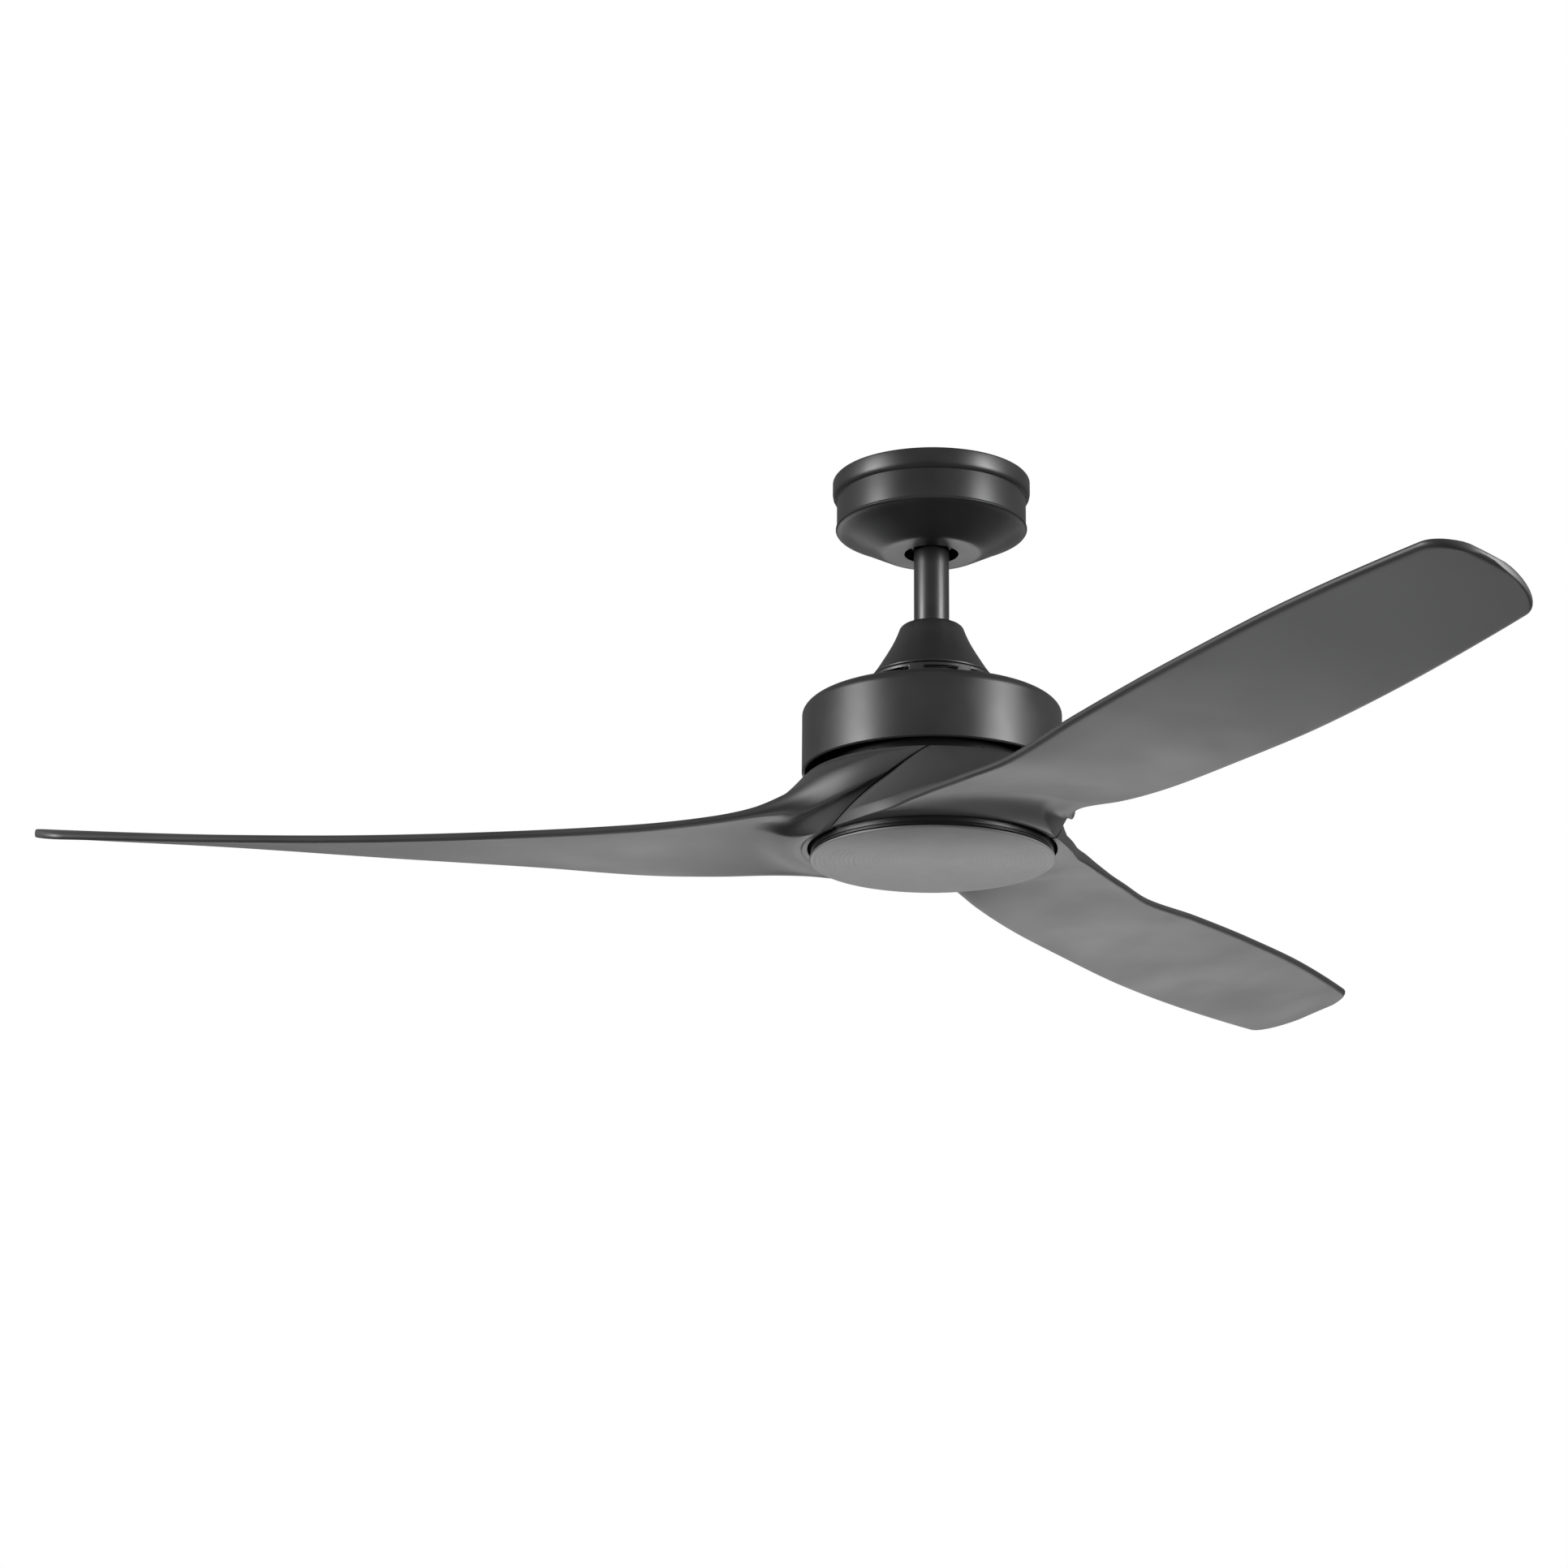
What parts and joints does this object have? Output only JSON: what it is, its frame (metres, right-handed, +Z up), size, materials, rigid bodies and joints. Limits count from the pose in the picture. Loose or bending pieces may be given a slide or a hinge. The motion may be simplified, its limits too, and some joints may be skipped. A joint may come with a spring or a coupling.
{
  "type": "ceiling fan with light",
  "caption": "Ball-hung ceiling fan with a short downrod, drum motor housing, swept moulded blades whose roots form a collar, and a flat round light cover.",
  "frame": {"origin": "centre of the hanger bracket's ceiling face, on the downrod's axis", "axes": "+Z up into the ceiling, along the downrod; X runs along the bracket's two screw slots"},
  "size_m": [1.0542, 1.1796, 0.3007],
  "materials": {
    "black_paint": "satin",
    "blade_plastic": "matte",
    "cover_finish": "matte",
    "zinc_steel": "satin",
    "green_screw": "satin",
    "black_screw": "satin",
    "dark_plastic": "matte",
    "wire_sleeve": "matte",
    "orange_plastic": "gloss",
    "ivory_plastic": "gloss",
    "bright_steel": "polished",
    "cast_alloy": "matte",
    "lamination_steel": "matte",
    "enamelled_copper": "gloss",
    "ferrite": "matte",
    "raw_aluminium": "satin",
    "led_phosphor": "satin"
  },
  "bodies": {
    "ceiling_side": {"hanger_bracket": "zinc_steel", "ground_screw": "green_screw", "canopy": "black_paint", "canopy_screws": "black_screw", "canopy_trim_ring": "black_paint", "receiver": "dark_plastic", "receiver_leads": "wire_sleeve", "wire_connectors": "orange_plastic"},
    "cross_pin": {"ball_cross_pin": "bright_steel"},
    "suspension": {"hanger_ball": "dark_plastic", "ball_set_screw": "black_screw", "downrod": "black_paint", "motor_lead": "wire_sleeve", "motor_plug": "ivory_plastic", "coupling": "cast_alloy", "clevis_pin": "bright_steel", "clevis_clip": "bright_steel", "coupling_set_screws": "black_screw", "motor_housing": "black_paint", "housing_screws": "black_screw", "motor_shaft": "bright_steel", "shaft_nut": "zinc_steel", "stator_core": "lamination_steel", "stator_windings": "enamelled_copper", "bearing_inner_rings": "bright_steel", "light_pan": "black_paint", "pan_screws": "zinc_steel", "heat_sink": "raw_aluminium", "led_board": "ivory_plastic", "led_chips": "led_phosphor", "led_screws": "zinc_steel"},
    "bell": {"coupling_cover": "black_paint"},
    "rotor": {"bearing_outer_rings": "bright_steel", "bearing_balls": "bright_steel", "rotor_can": "black_paint", "rotor_magnets": "ferrite", "blade_hub": "black_paint", "hub_screws": "black_screw", "blade_screws": "black_screw", "blade_1": "blade_plastic", "blade_2": "blade_plastic", "blade_3": "blade_plastic"},
    "cover": {"light_cover": "cover_finish"}
  },
  "joints": [
    {"name": "swing_side", "type": "hinge", "parent": "ceiling_side", "child": "cross_pin", "pos_m": [0, 0, -0.034], "axis": [0, 1, 0], "range_deg": [-10, 10]},
    {"name": "swing_front", "type": "hinge", "parent": "cross_pin", "child": "suspension", "pos_m": [0, 0, -0.034], "axis": [1, 0, 0], "range_deg": [-10, 10]},
    {"name": "bell_slide", "type": "slide", "parent": "suspension", "child": "bell", "axis": [0, 0, 1], "range_m": [0, 0.05]},
    {"name": "fan_spin", "type": "hinge", "parent": "suspension", "child": "rotor", "pos_m": [0, 0, -0.24], "axis": [0, 0, 1], "continuous": true},
    {"name": "cover_twist", "type": "hinge", "parent": "suspension", "child": "cover", "pos_m": [0, 0, -0.299], "axis": [0, 0, 1], "range_deg": [0, 22]}
  ]
}
